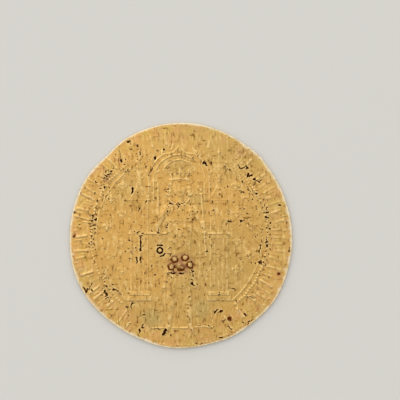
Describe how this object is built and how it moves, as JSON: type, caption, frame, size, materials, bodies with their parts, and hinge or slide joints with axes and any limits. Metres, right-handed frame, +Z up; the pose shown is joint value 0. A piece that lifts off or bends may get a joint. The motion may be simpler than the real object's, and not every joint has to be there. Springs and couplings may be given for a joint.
{
  "type": "gold coin",
  "caption": "Thin hammered gold coin with a standing crowned figure under a pointed canopy, flowers in the field and a leafed cross on the back.",
  "frame": {"origin": "centre of the coin's outline, on the surface it lies on", "axes": "+Z up out of the side with the figure, +Y towards the figure's head, +X to the right as the figure side is read"},
  "size_m": [0.0284, 0.0288, 0.0007],
  "materials": {
    "gold": "worn satin gold, dark dirt in the recesses"
  },
  "bodies": {
    "root": {"coin": "gold"}
  },
  "joints": []
}
